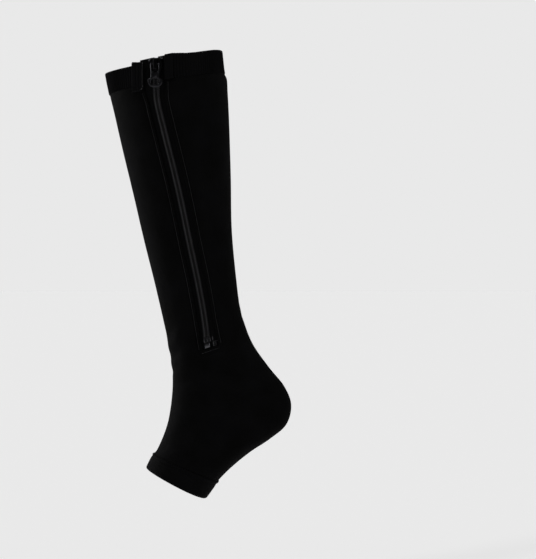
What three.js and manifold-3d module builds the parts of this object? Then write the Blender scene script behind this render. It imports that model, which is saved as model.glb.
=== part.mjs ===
// Compression stocking: a knee-high, open-toe medical stocking with a side zip,
// in the hollow shape that it has when it is worn.
// Millimetres, +Z up. The origin is the middle of the top opening, where the calf holds it.
// The toes point to -X, the heel to +X, and the zip is on the -Y side.

import * as THREE from 'three';
import { mergeVertices } from 'three/addons/utils/BufferGeometryUtils.js';
import Module from 'manifold-3d';

const wasm = await Module();
wasm.setup();

// Rings round the leg and foot, from just above the top rim to the toe rim.
// front and back are the [x, z] of a ring's two ends in the side view, width is its size in y,
// egg widens its back half and narrows its front half by that share, and zip is the place of
// the zip's centre line, as a share of the way from front to back.
const SECTIONS = [
  { name: 'above the rim', front: [-58.6, -7.5], back: [57.7, 15.4], width: 110.6, egg: 0.03, zip: 0.460 },
  { name: 'top rim', front: [-57.8, -11.4], back: [58.2, 11.4], width: 111, egg: 0.03, zip: 0.454 },
  { name: 'hem of top band', front: [-53.4, -33], back: [61, -11.5], width: 111, egg: 0.03, zip: 0.4235 },
  { name: 'calf at the band', front: [-52.6, -36.5], back: [63.2, -16], width: 112, egg: 0.04, zip: 0.413 },
  { name: 'upper calf', front: [-49.8, -48], back: [64.2, -30], width: 111, egg: 0.05, zip: 0.401 },
  { name: 'full calf', front: [-42.6, -79], back: [65.8, -61], width: 105, egg: 0.06, zip: 0.419 },
  { name: 'lower calf', front: [-30, -132], back: [67.4, -115], width: 93, egg: 0.06, zip: 0.468 },
  { name: 'shin', front: [-17.5, -185], back: [68.6, -170], width: 80, egg: 0.03, zip: 0.512 },
  { name: 'above the ankle', front: [-6.4, -230], back: [72.9, -217], width: 70, egg: 0, zip: 0.535 },
  { name: 'ankle', front: [3, -272], back: [77.3, -247], width: 64, egg: -0.05, zip: 0.526 },
  { name: 'ankle bones', front: [8, -305], back: [88, -279], width: 63, egg: -0.1, zip: 0.471 },
  { name: 'upper heel', front: [9.2, -322], back: [105.4, -304.5], width: 64, egg: -0.15, zip: 0.383 },
  { name: 'heel cap', front: [8.4, -335], back: [121, -324], width: 65, egg: -0.18, zip: 0.333 },
  { name: 'heel', front: [6.8, -347], back: [127.7, -342], width: 65, egg: -0.18, zip: 0.32 },
  { name: 'under the heel', front: [4.7, -358], back: [123, -361.5], width: 66, egg: -0.12, zip: 0.32 },
  { name: 'instep', front: [1, -370], back: [106, -376.5], width: 68, egg: -0.02, zip: 0.35 },
  { name: 'arch', front: [-3, -380], back: [87, -389], width: 71, egg: 0.06, zip: 0.4 },
  { name: 'sole', front: [-7, -388], back: [69, -403.5], width: 74, egg: 0.09, zip: 0.44 },
  { name: 'hem of toe band', front: [-9.2, -390.5], back: [55, -417.5], width: 78, egg: 0.1, zip: 0.46 },
  { name: 'toe rim', front: [-17, -405], back: [42, -435.3], width: 82, egg: 0.1, zip: 0.48 },
];
const RIM_ROW = 1;
const TOE_HEM_ROW = SECTIONS.length - 2;
const SQUARENESS = 2.2;

// Cloth: heights over the skin of the stocking, which is the knit's outer face
const GAP = 0.3;
const KNIT_THICKNESS = 1.2;
const KNIT_EDGE_ROLL = 0.5;
const BAND_HEIGHT = 22.5;
const BAND_OVER_KNIT = 0.8;
const RIB_DEPTH = 0.55;
const RIB_COUNT = 118;
const BAND_EDGE_ROUND = 1.2;
const WELT_END_THICKNESS = 1.2;
const WELT_END_OVERHANG = 0.8;
const WELT_ENDS = {
  front: { from: -24, to: -13, bottom: 29.5, corner: { at: -13, size: 4 }, ribs: 4 },
  rear: { from: 8.5, to: 17.5, bottom: 22, corner: { at: 8.5, size: 1 }, ribs: 3 },
};

// The slot that the zip closes: its edges, in front of and behind the zip's centre line,
// at distances down the leg from the top rim
const SLOT_END = 288.5;
const SLOT = [
  { down: -10, front: 13, rear: 8.5 },
  { down: 26, front: 13, rear: 9 },
  { down: 42, front: 8.5, rear: 8.5 },
  { down: 262, front: 7.5, rear: 8.5 },
  { down: 278, front: 6.6, rear: 10 },
  { down: SLOT_END, front: 5.4, rear: 11.5 },
  { down: 460, front: 5.4, rear: 11.5 },
];

// Zip: two woven tapes, a coil on each, stops at the ends, and a slider with a hanging pull
const TAPE_WIDTH = 16.5;
const TAPE_THICKNESS = 1;
const TAPE_TAIL = 9.5;
const TAPE_UNDER_KNIT = 0.55;
const TAPE_OVER = -KNIT_THICKNESS - TAPE_UNDER_KNIT;
const COIL_WIDTH = 3.4;
const COIL_RISE = 1.2;
const COIL_EDGE_RISE = 0.5;
const TOP_STOPS = {
  front: { from: -0.4, to: 1.6, front: -7.1, rear: -4.6, rise: COIL_RISE },
  rear: { from: -0.4, to: 2.2, front: 4.6, rear: 7.3, rise: COIL_RISE },
};
const BOTTOM_STOP = { from: 283, to: 287.4, front: -2.7, rear: 2.7, rise: 1.6 };
const SLIDER_DOWN = 6;
const SLIDER_LENGTH = 13.2;
const SLIDER_HALF_WIDTH = 6.6;
const SLIDER_TAIL_HALF_WIDTH = 4.9;
const SLIDER_TOP_HALF_WIDTH = 4.2;
const SLIDER_SHOULDER = { low: 0, high: 2.6 };
const SLIDER_WALL = 1;
const BACK_PLATE_INSET = 1.4;
const PLATE_THICKNESS = 1.4;
const PLATE_OUT = COIL_RISE + GAP;
const BACK_PLATE_THICKNESS = 1;
const BACK_PLATE_IN = -3.4;
const FLANGE_IN = -1.2;
const POST = { halfWidth: 1.4, top: 5.6, foot: 1 };
const PARTED = 1.9;
const CLOSED = 0.15;
const PARTED_TO = 7;
const CLOSED_FROM = 14;
const COIL_TOP = { front: 2, rear: 2.9 };
const BAIL = { halfWidth: 1.8, top: 6.3, foot: -5.1, crest: -3.9, legTop: 5.4, legFoot: -4.1 };
const BAIL_OUT = { roof: 5.35, height: 6.6, chamfer: 0.3 };
const HINGE = { up: 0.6, out: 4.2 };
const PULL_THICKNESS = 1.5;
const PULL_BAR_OUTER = 5.05;
const PULL_BAR_INNER = 3.15;
const PULL_NECK_OUTER = 4.3;
const PULL_WINDOW_FOOT = 2.7;
const PULL_WINDOW_LENGTH = 8.2;
const PULL_NECK = 13.6;
const PULL_RING = { centre: 17.4, halfWidth: 7.15, halfHeight: 6, holeHalfWidth: 4.2, holeHalfHeight: 3.4 };
const PULL_RING_START = 0.56;

// Mesh fineness
const KNIT_COLUMNS_ROUND = 42;
const SLOT_COLUMNS = 4;
const KNIT_STEPS_BESIDE_SLOT = 23;
const KNIT_STEPS_BELOW_SLOT = 14;
const TAPE_STEPS = 24;
const WELT_END_STEPS = 5;

// How far the two tapes part from the zip's centre line, round the slider's post
const PARTING = [
  { down: -10, half: PARTED },
  { down: PARTED_TO, half: PARTED },
  { down: CLOSED_FROM, half: CLOSED },
  { down: 460, half: CLOSED },
];

const fabric = (name, color, roughness) => {
  const material = new THREE.MeshStandardMaterial({ color, roughness, metalness: 0 });
  material.name = name;
  return material;
};
const KNIT = fabric('compression_knit', 0x101012, 0.85);
const WELT = fabric('ribbed_welt', 0x141416, 0.85);
const TAPE = fabric('woven_tape', 0x17171a, 0.8);
const NYLON = fabric('nylon_coil', 0x26262a, 0.4);
const METAL = new THREE.MeshStandardMaterial({ color: 0x3a3a3e, roughness: 0.35, metalness: 0.9 });
METAL.name = 'gunmetal';

// Curves through the sections: the ends of the rings and their girth
const endPoint = ([x, z]) => new THREE.Vector3(x, 0, z);
const frontCurve = new THREE.CatmullRomCurve3(SECTIONS.map((row) => endPoint(row.front)));
const backCurve = new THREE.CatmullRomCurve3(SECTIONS.map((row) => endPoint(row.back)));
const girthCurve = new THREE.CatmullRomCurve3(
  SECTIONS.map((row) => new THREE.Vector3(row.width, 100 * row.egg, 100 * row.zip)),
);
const LAST_ROW = SECTIONS.length - 1;

// Distance of each row down the leg from the top rim, along the middle of the rings
const distances = [0];
for (let row = 1; row <= LAST_ROW; row += 1) {
  const middle = (section) => endPoint(section.front).add(endPoint(section.back)).multiplyScalar(0.5);
  const step = middle(SECTIONS[row]).distanceTo(middle(SECTIONS[row - 1]));
  distances.push(distances[row - 1] + step);
}
const ROW_DOWN = distances.map((distance) => distance - distances[RIM_ROW]);
const TOE_HEM = ROW_DOWN[TOE_HEM_ROW];
const TOE_RIM = ROW_DOWN[LAST_ROW];

// The row number, with its fraction, at a distance down the leg
function rowAt(down) {
  let row = 0;
  while (row < LAST_ROW - 1 && ROW_DOWN[row + 1] < down) row += 1;
  return row + (down - ROW_DOWN[row]) / (ROW_DOWN[row + 1] - ROW_DOWN[row]);
}

// A column of a table of distances, between its rows
function tableAt(table, down, column) {
  let row = 0;
  while (row < table.length - 2 && table[row + 1].down < down) row += 1;
  const share = (down - table[row].down) / (table[row + 1].down - table[row].down);
  return THREE.MathUtils.lerp(table[row][column], table[row + 1][column], share);
}

const squared = (value) => Math.sign(value) * Math.abs(value) ** (2 / SQUARENESS);
const unsquared = (value) => Math.sign(value) * Math.abs(value) ** (SQUARENESS / 2);

function ringAt(row) {
  const t = THREE.MathUtils.clamp(row / LAST_ROW, 0, 1);
  const front = frontCurve.getPoint(t);
  const back = backCurve.getPoint(t);
  const girth = girthCurve.getPoint(t);
  return { front, back, halfWidth: girth.x / 2, egg: girth.y / 100, zip: girth.z / 100 };
}

// A point of the stocking's skin: angle 0 is the back, a quarter turn is the zip's side
function skinPoint(row, angle) {
  const ring = ringAt(row);
  const along = squared(Math.cos(angle));
  const across = squared(Math.sin(angle)) * (1 + ring.egg * along) * ring.halfWidth;
  const point = ring.front.clone().lerp(ring.back, (1 + along) / 2);
  point.y = -across;
  return point;
}

function skinNormal(row, angle) {
  const step = 0.02;
  const middle = THREE.MathUtils.clamp(row, step, LAST_ROW - step);
  const downward = skinPoint(middle + step, angle).sub(skinPoint(middle - step, angle));
  const rearward = skinPoint(middle, angle - step).sub(skinPoint(middle, angle + step));
  return downward.cross(rearward).normalize();
}

// A point at a height over the skin
function liftedPoint(down, angle, lift) {
  const row = rowAt(down);
  return skinPoint(row, angle).addScaledVector(skinNormal(row, angle), lift);
}

// The angle of a place on the zip's side, so many mm behind the zip's centre line
function angleBeside(down, rearward) {
  const ring = ringAt(rowAt(down));
  const share = ring.zip + rearward / ring.front.distanceTo(ring.back);
  return Math.acos(unsquared(2 * share - 1));
}

const besideZip = (down, rearward, lift) => liftedPoint(down, angleBeside(down, rearward), lift);

// The angle at a share of the way round, from the slot's rear edge by the heel to its front edge
function angleRound(down, share) {
  const rear = angleBeside(down, tableAt(SLOT, down, 'rear'));
  const front = angleBeside(down, -tableAt(SLOT, down, 'front'));
  return rear - share * (2 * Math.PI - front + rear);
}

const even = (from, to, steps) => Array.from({ length: steps + 1 }, (_, i) => from + ((to - from) * i) / steps);

// A closed wall between an outer and an inner grid of points. Rows run down the leg and columns
// run rearward on the zip's side. Cells that keep() refuses stay open.
function wall({ rows, columns, point, keep = () => true, closed = false }) {
  const stride = closed ? columns : columns + 1;
  const positions = [];
  for (let i = 0; i <= rows; i += 1) {
    for (let j = 0; j < stride; j += 1) {
      positions.push(...point(i, j, 'inner').toArray(), ...point(i, j, 'outer').toArray());
    }
  }
  const inner = (i, j) => 2 * (i * stride + (j % stride));
  const outer = (i, j) => inner(i, j) + 1;
  const kept = (i, j) => {
    const column = closed ? (j + columns) % columns : j;
    return i >= 0 && i < rows && column >= 0 && column < columns && keep(i, column);
  };
  const faces = [];
  const quad = (a, b, c, d) => faces.push(a, b, c, a, c, d);
  for (let i = 0; i < rows; i += 1) {
    for (let j = 0; j < columns; j += 1) {
      if (!kept(i, j)) continue;
      quad(outer(i, j), outer(i + 1, j), outer(i + 1, j + 1), outer(i, j + 1));
      quad(inner(i, j), inner(i, j + 1), inner(i + 1, j + 1), inner(i + 1, j));
      if (!kept(i - 1, j)) quad(outer(i, j), outer(i, j + 1), inner(i, j + 1), inner(i, j));
      if (!kept(i + 1, j)) quad(outer(i + 1, j + 1), outer(i + 1, j), inner(i + 1, j), inner(i + 1, j + 1));
      if (!kept(i, j - 1)) quad(outer(i + 1, j), outer(i, j), inner(i, j), inner(i + 1, j));
      if (!kept(i, j + 1)) quad(outer(i, j + 1), outer(i + 1, j + 1), inner(i + 1, j + 1), inner(i, j + 1));
    }
  }
  const indexed = new THREE.BufferGeometry();
  indexed.setAttribute('position', new THREE.Float32BufferAttribute(positions, 3));
  indexed.setIndex(faces);
  const geometry = indexed.toNonIndexed();
  geometry.computeVertexNormals();
  return geometry;
}

// The knitted leg and foot, one tube with the zip's slot down its side
function knitGeometry() {
  const beside = even(BAND_HEIGHT + GAP, SLOT_END, KNIT_STEPS_BESIDE_SLOT);
  const below = even(SLOT_END, TOE_HEM - GAP, KNIT_STEPS_BELOW_SLOT).slice(1);
  const downs = [...beside, ...below];
  const point = (i, j, face) => {
    const down = downs[i];
    const share = j / KNIT_COLUMNS_ROUND;
    let angle = angleRound(down, Math.min(share, 1));
    if (j > KNIT_COLUMNS_ROUND) {
      const front = -tableAt(SLOT, down, 'front');
      const rear = tableAt(SLOT, down, 'rear');
      angle = angleBeside(down, THREE.MathUtils.lerp(front, rear, (j - KNIT_COLUMNS_ROUND) / SLOT_COLUMNS));
    }
    if (face === 'inner') return liftedPoint(down, angle, -KNIT_THICKNESS);
    const onEdge = (j === 0 || j === KNIT_COLUMNS_ROUND) && i <= KNIT_STEPS_BESIDE_SLOT;
    return liftedPoint(down, angle, onEdge ? KNIT_EDGE_ROLL : 0);
  };
  return wall({
    rows: downs.length - 1,
    columns: KNIT_COLUMNS_ROUND + SLOT_COLUMNS,
    point,
    keep: (i, j) => !(j >= KNIT_COLUMNS_ROUND && i < KNIT_STEPS_BESIDE_SLOT),
    closed: true,
  });
}

// How far a ribbed surface stands over the skin: crests and troughs take turns
function ribRise(i, j, lastRow) {
  const crest = i === 0 || i === lastRow ? BAND_OVER_KNIT - RIB_DEPTH : BAND_OVER_KNIT;
  return j % 2 === 0 ? crest - RIB_DEPTH / 2 : crest;
}

// The ribbed band round the top, open at the zip
function topBandGeometry() {
  const downs = [0, BAND_EDGE_ROUND, BAND_HEIGHT - BAND_EDGE_ROUND, BAND_HEIGHT];
  const columns = 2 * RIB_COUNT;
  const point = (i, j, face) => {
    const lift = face === 'inner' ? -KNIT_THICKNESS : ribRise(i, j, downs.length - 1);
    return liftedPoint(downs[i], angleRound(downs[i], j / columns), lift);
  };
  return wall({ rows: downs.length - 1, columns, point });
}

// The plain doubled band round the toe opening
function toeBandGeometry() {
  const downs = [TOE_HEM, TOE_HEM + BAND_EDGE_ROUND, (TOE_HEM + TOE_RIM) / 2, TOE_RIM - BAND_EDGE_ROUND, TOE_RIM];
  const columns = KNIT_COLUMNS_ROUND + SLOT_COLUMNS;
  const point = (i, j, face) => {
    const atEdge = i === 0 || i === downs.length - 1;
    const over = atEdge ? BAND_OVER_KNIT / 4 : BAND_OVER_KNIT;
    const lift = face === 'inner' ? -KNIT_THICKNESS : over;
    return liftedPoint(downs[i], -(2 * Math.PI * j) / columns, lift);
  };
  return wall({ rows: downs.length - 1, columns, point, closed: true });
}

// An end of the top band, turned back over itself beside the zip
function weltEndGeometry({ from, to, bottom, corner, ribs }) {
  const columns = 2 * ribs;
  const low = BAND_OVER_KNIT + GAP;
  const point = (i, j, face) => {
    const rearward = from + ((to - from) * j) / columns;
    const intoCorner = Math.max(0, corner.size - Math.abs(rearward - corner.at));
    const cut = corner.size - Math.sqrt(corner.size ** 2 - intoCorner ** 2);
    const down = THREE.MathUtils.lerp(-WELT_END_OVERHANG, bottom - cut, i / WELT_END_STEPS);
    const rib = j % 2 === 0 ? 0 : RIB_DEPTH / 2;
    return besideZip(down, rearward, face === 'inner' ? low : low + WELT_END_THICKNESS + rib);
  };
  return wall({ rows: WELT_END_STEPS, columns, point });
}

// Rows down a strip of the zip, with one halfway through its parting
function zipDowns(top, bottom) {
  return [top, PARTED_TO, (PARTED_TO + CLOSED_FROM) / 2, ...even(CLOSED_FROM, bottom, TAPE_STEPS)];
}

// A strip of the zip on one side of its centre line: side is -1 in front and 1 behind
function zipStripGeometry({ side, top, bottom, width, under, over, edgeOver = over, columns }) {
  const downs = zipDowns(top, bottom);
  const point = (i, j, face) => {
    const parted = tableAt(PARTING, downs[i], 'half');
    const across = side > 0 ? j / columns : 1 - j / columns;
    const outerEdge = width > COIL_WIDTH ? width : parted + width;
    const rearward = side * THREE.MathUtils.lerp(parted, outerEdge, across);
    const crown = j === columns / 2 ? over : edgeOver;
    return besideZip(downs[i], rearward, face === 'inner' ? under : crown);
  };
  return wall({ rows: downs.length - 1, columns, point });
}

// A small clamp across the zip, from one place beside its centre line to another
function stopGeometry({ from, to, front, rear, rise }) {
  const columns = 2;
  const point = (i, j, face) => {
    const rearward = THREE.MathUtils.lerp(front, rear, j / columns);
    const lift = j === 1 ? rise : rise - COIL_EDGE_RISE;
    return besideZip(i === 0 ? from : to, rearward, face === 'inner' ? TAPE_OVER + GAP : lift);
  };
  return wall({ rows: 1, columns, point });
}

function solidOf(geometry) {
  const bare = geometry.clone();
  bare.deleteAttribute('normal');
  bare.deleteAttribute('uv');
  const merged = mergeVertices(bare, 1e-4);
  const vertProperties = new Float32Array(merged.attributes.position.array);
  const triVerts = new Uint32Array(merged.index.array);
  return new wasm.Manifold(new wasm.Mesh({ numProp: 3, vertProperties, triVerts }));
}

function geometryOf(solid) {
  const mesh = solid.getMesh();
  const indexed = new THREE.BufferGeometry();
  indexed.setAttribute('position', new THREE.BufferAttribute(new Float32Array(mesh.vertProperties), 3));
  indexed.setIndex(new THREE.BufferAttribute(new Uint32Array(mesh.triVerts), 1));
  const geometry = indexed.toNonIndexed();
  geometry.computeVertexNormals();
  return geometry;
}

function slab(points, from, to) {
  const shape = Array.isArray(points) ? new THREE.Shape(points.map(([x, y]) => new THREE.Vector2(x, y))) : points;
  const geometry = new THREE.ExtrudeGeometry(shape, { depth: to - from, bevelEnabled: false, curveSegments: 10 });
  geometry.translate(0, 0, from);
  return geometry;
}

// The shield that the slider shows from outside: x is rearward and y is up the zip
function sliderOutline(inset) {
  const shoulder = SLIDER_HALF_WIDTH - inset;
  const tail = SLIDER_TAIL_HALF_WIDTH - inset;
  const crown = SLIDER_TOP_HALF_WIDTH - inset;
  const end = SLIDER_LENGTH / 2;
  return [
    [-tail, -end],
    [tail, -end],
    [shoulder, SLIDER_SHOULDER.low],
    [shoulder, SLIDER_SHOULDER.high],
    [crown, end],
    [-crown, end],
    [-shoulder, SLIDER_SHOULDER.high],
    [-shoulder, SLIDER_SHOULDER.low],
  ];
}

// The room for the coils between the side flanges, which end below the shoulders' slant
function channelOutline() {
  const shoulder = SLIDER_HALF_WIDTH - SLIDER_WALL;
  const tail = SLIDER_TAIL_HALF_WIDTH - SLIDER_WALL;
  const past = SLIDER_LENGTH / 2 + 1;
  const wide = SLIDER_HALF_WIDTH + 1;
  return [
    [-tail, -past],
    [tail, -past],
    [shoulder, SLIDER_SHOULDER.low],
    [shoulder, SLIDER_SHOULDER.high - SLIDER_WALL],
    [wide, SLIDER_SHOULDER.high - SLIDER_WALL],
    [wide, past],
    [-wide, past],
    [-wide, SLIDER_SHOULDER.high - SLIDER_WALL],
    [-shoulder, SLIDER_SHOULDER.high - SLIDER_WALL],
    [-shoulder, SLIDER_SHOULDER.low],
  ];
}

// Body of the slider: face plate with side flanges, back plate, the post between, and the bail
function sliderGeometry() {
  const face = solidOf(slab(sliderOutline(0), FLANGE_IN, PLATE_OUT + PLATE_THICKNESS));
  const channel = solidOf(slab(channelOutline(), FLANGE_IN - 1, PLATE_OUT));
  const back = solidOf(slab(sliderOutline(BACK_PLATE_INSET), BACK_PLATE_IN - BACK_PLATE_THICKNESS, BACK_PLATE_IN));
  const middle = (POST.top + POST.foot) / 2;
  const post = [
    [0, POST.foot],
    [POST.halfWidth, middle],
    [0, POST.top],
    [-POST.halfWidth, middle],
  ];
  const postSolid = solidOf(slab(post, BACK_PLATE_IN - BACK_PLATE_THICKNESS / 2, PLATE_OUT + PLATE_THICKNESS / 2));
  const rootOut = PLATE_OUT + PLATE_THICKNESS / 2;
  const arch = new THREE.Shape([
    new THREE.Vector2(BAIL.foot, rootOut),
    new THREE.Vector2(BAIL.legFoot, rootOut),
    new THREE.Vector2(BAIL.legFoot, BAIL_OUT.roof),
    new THREE.Vector2(BAIL.legTop, BAIL_OUT.roof),
    new THREE.Vector2(BAIL.legTop, rootOut),
    new THREE.Vector2(BAIL.top, rootOut),
    new THREE.Vector2(BAIL.top, BAIL_OUT.roof),
    new THREE.Vector2(BAIL.legTop - BAIL_OUT.chamfer, BAIL_OUT.height),
    new THREE.Vector2(BAIL.crest, BAIL_OUT.height),
  ]);
  const bail = slab(arch, -BAIL.halfWidth, BAIL.halfWidth);
  const upAndOut = new THREE.Matrix4().makeBasis(
    new THREE.Vector3(0, 1, 0),
    new THREE.Vector3(0, 0, 1),
    new THREE.Vector3(1, 0, 0),
  );
  bail.applyMatrix4(upAndOut);
  return geometryOf(face.subtract(channel).add(back).add(postSolid).add(solidOf(bail)));
}

// The pull: two bars on a crossbar under the bail, a solid neck and a ring, hanging down in -y
function pullGeometry() {
  const half = PULL_THICKNESS / 2;
  const ring = PULL_RING;
  const outline = new THREE.Shape();
  outline.moveTo(-PULL_BAR_OUTER, half);
  outline.lineTo(-PULL_NECK_OUTER, -PULL_NECK);
  const start = Math.PI - PULL_RING_START;
  outline.absellipse(0, -ring.centre, ring.halfWidth, ring.halfHeight, start, 2 * Math.PI + PULL_RING_START, false);
  outline.lineTo(PULL_NECK_OUTER, -PULL_NECK);
  outline.lineTo(PULL_BAR_OUTER, half);
  outline.lineTo(PULL_BAR_INNER, half);
  outline.lineTo(PULL_WINDOW_FOOT, -PULL_WINDOW_LENGTH);
  outline.lineTo(-PULL_WINDOW_FOOT, -PULL_WINDOW_LENGTH);
  outline.lineTo(-PULL_BAR_INNER, half);
  const hole = new THREE.Path();
  hole.absellipse(0, -ring.centre, ring.holeHalfWidth, ring.holeHalfHeight, 0, 2 * Math.PI, true);
  outline.holes.push(hole);
  const plate = solidOf(slab(outline, -half, half));
  const crossbar = new THREE.CylinderGeometry(half, half, PULL_BAR_INNER + PULL_BAR_OUTER, 10);
  crossbar.rotateZ(Math.PI / 2);
  return geometryOf(plate.add(solidOf(crossbar)));
}

// The slider's own frame on the zip: x rearward, y up the zip, z out of the cloth
function sliderFrame() {
  const reach = SLIDER_LENGTH / 2;
  const above = besideZip(SLIDER_DOWN - reach, 0, 0);
  const below = besideZip(SLIDER_DOWN + reach, 0, 0);
  const up = above.clone().sub(below).normalize();
  const row = rowAt(SLIDER_DOWN);
  const out = skinNormal(row, angleBeside(SLIDER_DOWN, 0));
  const rearward = up.clone().cross(out).normalize();
  out.crossVectors(rearward, up);
  const centre = above.lerp(below, 0.5);
  return new THREE.Matrix4().makeBasis(rearward, up, out).setPosition(centre);
}

// The pull hangs plumb from its crossbar
function pullFrame(slider) {
  const axisPoint = new THREE.Vector3(0, HINGE.up, HINGE.out).applyMatrix4(slider);
  const rearward = new THREE.Vector3().setFromMatrixColumn(slider, 0);
  const out = rearward.clone().cross(new THREE.Vector3(0, 0, 1)).normalize();
  const up = out.clone().cross(rearward);
  return new THREE.Matrix4().makeBasis(rearward, up, out).setPosition(axisPoint);
}

const stocking = new THREE.Group();
stocking.name = 'compression_stocking';

function addPiece(name, geometry, material, parent = stocking) {
  const mesh = new THREE.Mesh(geometry, material);
  mesh.name = name;
  parent.add(mesh);
  return mesh;
}

addPiece('stocking_knit', knitGeometry(), KNIT);
addPiece('top_band', topBandGeometry(), WELT);
addPiece('toe_band', toeBandGeometry(), WELT);
addPiece('welt_end_front', weltEndGeometry(WELT_ENDS.front), WELT);
addPiece('welt_end_rear', weltEndGeometry(WELT_ENDS.rear), WELT);

for (const [name, side] of [['front', -1], ['rear', 1]]) {
  const tape = {
    side,
    top: -2,
    bottom: SLOT_END + TAPE_TAIL,
    width: TAPE_WIDTH,
    under: TAPE_OVER - TAPE_THICKNESS,
    over: TAPE_OVER,
    columns: 4,
  };
  const coil = {
    side,
    top: COIL_TOP[name],
    bottom: BOTTOM_STOP.from - GAP,
    width: COIL_WIDTH,
    under: TAPE_OVER + GAP,
    over: COIL_RISE,
    edgeOver: COIL_EDGE_RISE,
    columns: 2,
  };
  addPiece(`zip_tape_${name}`, zipStripGeometry(tape), TAPE);
  addPiece(`zip_coil_${name}`, zipStripGeometry(coil), NYLON);
  addPiece(`zip_top_stop_${name}`, stopGeometry(TOP_STOPS[name]), METAL);
}
addPiece('zip_bottom_stop', stopGeometry(BOTTOM_STOP), METAL);

const slider = addPiece('zip_slider', sliderGeometry(), METAL);
slider.applyMatrix4(sliderFrame());
const pull = addPiece('zip_pull', pullGeometry(), METAL);
pull.applyMatrix4(pullFrame(sliderFrame()));

export default stocking;
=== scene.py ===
import math

import bmesh
import bpy
import numpy as np
from mathutils import Matrix, Vector


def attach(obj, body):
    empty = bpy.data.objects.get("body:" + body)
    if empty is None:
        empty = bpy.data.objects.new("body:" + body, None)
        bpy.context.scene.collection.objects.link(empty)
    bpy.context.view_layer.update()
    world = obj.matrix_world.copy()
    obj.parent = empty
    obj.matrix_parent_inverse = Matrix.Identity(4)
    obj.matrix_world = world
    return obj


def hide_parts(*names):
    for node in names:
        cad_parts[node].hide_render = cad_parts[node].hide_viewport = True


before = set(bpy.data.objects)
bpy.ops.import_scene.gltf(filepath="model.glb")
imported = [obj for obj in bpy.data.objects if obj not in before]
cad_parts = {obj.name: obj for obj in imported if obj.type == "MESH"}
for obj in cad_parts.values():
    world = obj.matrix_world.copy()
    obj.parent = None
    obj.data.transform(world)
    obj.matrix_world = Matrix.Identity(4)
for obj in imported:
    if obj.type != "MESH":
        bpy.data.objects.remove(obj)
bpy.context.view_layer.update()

# The studio: a pale seamless floor well under the toes, pale surroundings, one broad soft light
# from behind the shin, two small ones from the front, one over the floor, and a camera level with
# the shin, 2.4 m away.
FLOOR_Z = -0.53
CAMERA_PLACE = (0.1045, -2.4, -0.217)
LENS_MM = 154.6
PALE = "#E9E9E9"
FLOOR_PAINT = "#E7E7E7"
FLOOR_GLOW = 0.328
FILL_SHARE = 0.1


def linear(colour, alpha=1.0):
    """An sRGB hex colour as the linear RGBA that Blender's sockets hold."""
    shares = [int(colour[i : i + 2], 16) / 255 for i in (1, 3, 5)]
    return (*(s / 12.92 if s <= 0.04045 else ((s + 0.055) / 1.055) ** 2.4 for s in shares), alpha)


def add(tree, kind, inputs=None, **settings):
    """Adds a shader node. inputs gives its sockets values, or the sockets that feed them."""
    node = tree.nodes.new(kind)
    for name, value in settings.items():
        setattr(node, name, value)
    for socket, value in (inputs or {}).items():
        if isinstance(value, bpy.types.NodeSocket):
            tree.links.new(value, node.inputs[socket])
        else:
            node.inputs[socket].default_value = value
    return node


def new_material(name, colour, roughness, **uniform):
    """A material with one Principled shader, and its node tree and shader."""
    material = bpy.data.materials.new(name)
    material.use_nodes = True
    shader = material.node_tree.nodes["Principled BSDF"]
    shader.inputs["Base Color"].default_value = linear(colour)
    shader.inputs["Roughness"].default_value = roughness
    for socket, value in uniform.items():
        shader.inputs[socket.replace("_", " ")].default_value = value
    return material, material.node_tree, shader


def finish_mesh(name, bm, material, smooth=True):
    """Writes a bmesh to a new object of the scene."""
    mesh = bpy.data.meshes.new(name)
    bm.to_mesh(mesh)
    bm.free()
    for polygon in mesh.polygons:
        polygon.use_smooth = smooth
    mesh.materials.append(material)
    piece = bpy.data.objects.new(name, mesh)
    bpy.context.scene.collection.objects.link(piece)
    return piece


floor_bm = bmesh.new()
bmesh.ops.create_circle(floor_bm, cap_ends=True, segments=96, radius=60)
bmesh.ops.translate(floor_bm, verts=floor_bm.verts, vec=(0, 0, FLOOR_Z))
painted_floor, floor_tree, floor_shader = new_material("matt_painted_floor", FLOOR_PAINT, 1.0)
floor_shader.inputs["Specular IOR Level"].default_value = 0.0
floor_shader.inputs["Emission Color"].default_value = linear("#FFFFFF")
seen = add(floor_tree, "ShaderNodeLightPath").outputs["Is Camera Ray"]
glow = add(floor_tree, "ShaderNodeMath", {0: seen, 1: FLOOR_GLOW}, operation="MULTIPLY")
floor_tree.links.new(glow.outputs[0], floor_shader.inputs["Emission Strength"])
studio_floor = finish_mesh("studio_floor", floor_bm, painted_floor, smooth=False)

surroundings = bpy.data.worlds.new("pale_surroundings")
surroundings.use_nodes = True
pale = surroundings.node_tree.nodes["Background"]
pale.inputs["Color"].default_value = linear(PALE)
seen = add(surroundings.node_tree, "ShaderNodeLightPath").outputs["Is Camera Ray"]
strength = add(surroundings.node_tree, "ShaderNodeMapRange", {"Value": seen, "To Min": FILL_SHARE, "To Max": 1.0})
surroundings.node_tree.links.new(strength.outputs[0], pale.inputs["Strength"])
bpy.context.scene.world = surroundings

# name, strength, how soft in degrees, the way it shines
for name, energy, softness, way in (
    ("shin_side_light", 1.95, 44, (0.86, -0.42, -0.28)),
    ("front_light", 0.34, 9, (0.6, 0.65, -0.45)),
    ("heel_side_light", 0.42, 10, (-0.86, 0.42, -0.25)),
    ("overhead_light", 0.85, 24, (0, 0, -1)),
):
    light = bpy.data.lights.new(name, "SUN")
    light.energy = energy
    light.angle = math.radians(softness)
    lamp = bpy.data.objects.new(name, light)
    lamp.rotation_euler = Vector(way).to_track_quat("-Z", "Y").to_euler()
    bpy.context.scene.collection.objects.link(lamp)

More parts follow.
